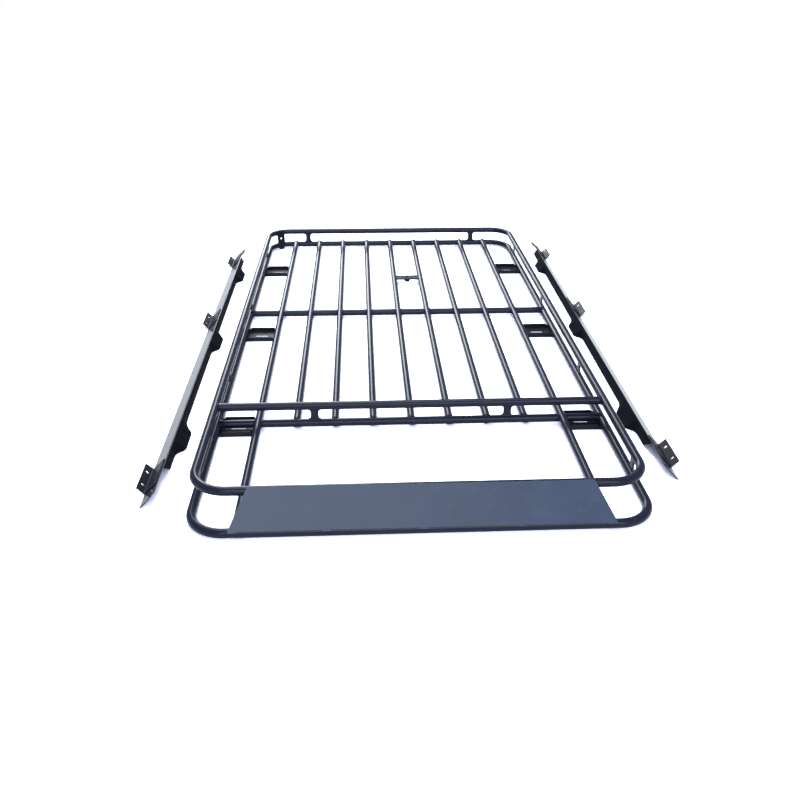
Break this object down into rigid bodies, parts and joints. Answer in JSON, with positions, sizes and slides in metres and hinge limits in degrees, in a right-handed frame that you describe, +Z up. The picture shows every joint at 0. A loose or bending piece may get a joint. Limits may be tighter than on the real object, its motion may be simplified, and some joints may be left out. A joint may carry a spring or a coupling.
{
  "type": "roof basket with side rails",
  "caption": "Full-length steel tube roof basket with a floor of long bars, front wind fairing and a pair of sheet mounting rails laid beside it.",
  "frame": {"origin": "bottom centre of the bounding box, on the floor midway between the rails", "axes": "+X to the car's right, +Y to the rear, +Z up; the fairing is at the -Y end"},
  "size_m": [1.4764, 2.257, 0.0912],
  "materials": {
    "tube_coat": "satin black powder coat with a blue-grey sheen",
    "bracket_coat": "matt black powder coat",
    "fairing_coat": "satin slate blue-grey coat on flat sheet",
    "rail_coat": "textured black coat that looks pale where it catches the sky"
  },
  "bodies": {
    "root": {"lower_ring": "tube_coat", "upper_ring": "tube_coat", "upper_crossbar": "tube_coat", "lower_crossbar": "tube_coat", "middle_crossbar": "tube_coat", "long_bar_1": "tube_coat", "long_bar_2": "tube_coat", "long_bar_3": "tube_coat", "long_bar_4": "tube_coat", "long_bar_5": "tube_coat", "long_bar_6": "tube_coat", "long_bar_7": "tube_coat", "long_bar_8": "tube_coat", "long_bar_9": "tube_coat", "wind_fairing": "fairing_coat", "post_rear_left": "tube_coat", "post_rear_right": "tube_coat", "post_front_left": "tube_coat", "post_front_right": "tube_coat", "post_left_1": "tube_coat", "post_left_2": "tube_coat", "post_left_3": "tube_coat", "post_left_4": "tube_coat", "post_right_1": "tube_coat", "post_right_2": "tube_coat", "post_right_3": "tube_coat", "post_right_4": "tube_coat", "pad_left_rear": "bracket_coat", "pad_left_middle": "bracket_coat", "pad_left_front": "bracket_coat", "pad_right_rear": "bracket_coat", "pad_right_middle": "bracket_coat", "pad_right_front": "bracket_coat", "corner_bracket": "bracket_coat", "accessory_strap": "bracket_coat", "rail_left": "rail_coat", "rail_right": "rail_coat", "tab_left_rear": "bracket_coat", "tab_left_middle": "bracket_coat", "tab_left_front": "bracket_coat", "tab_right_rear": "bracket_coat", "tab_right_middle": "bracket_coat", "tab_right_front": "bracket_coat"}
  },
  "joints": []
}
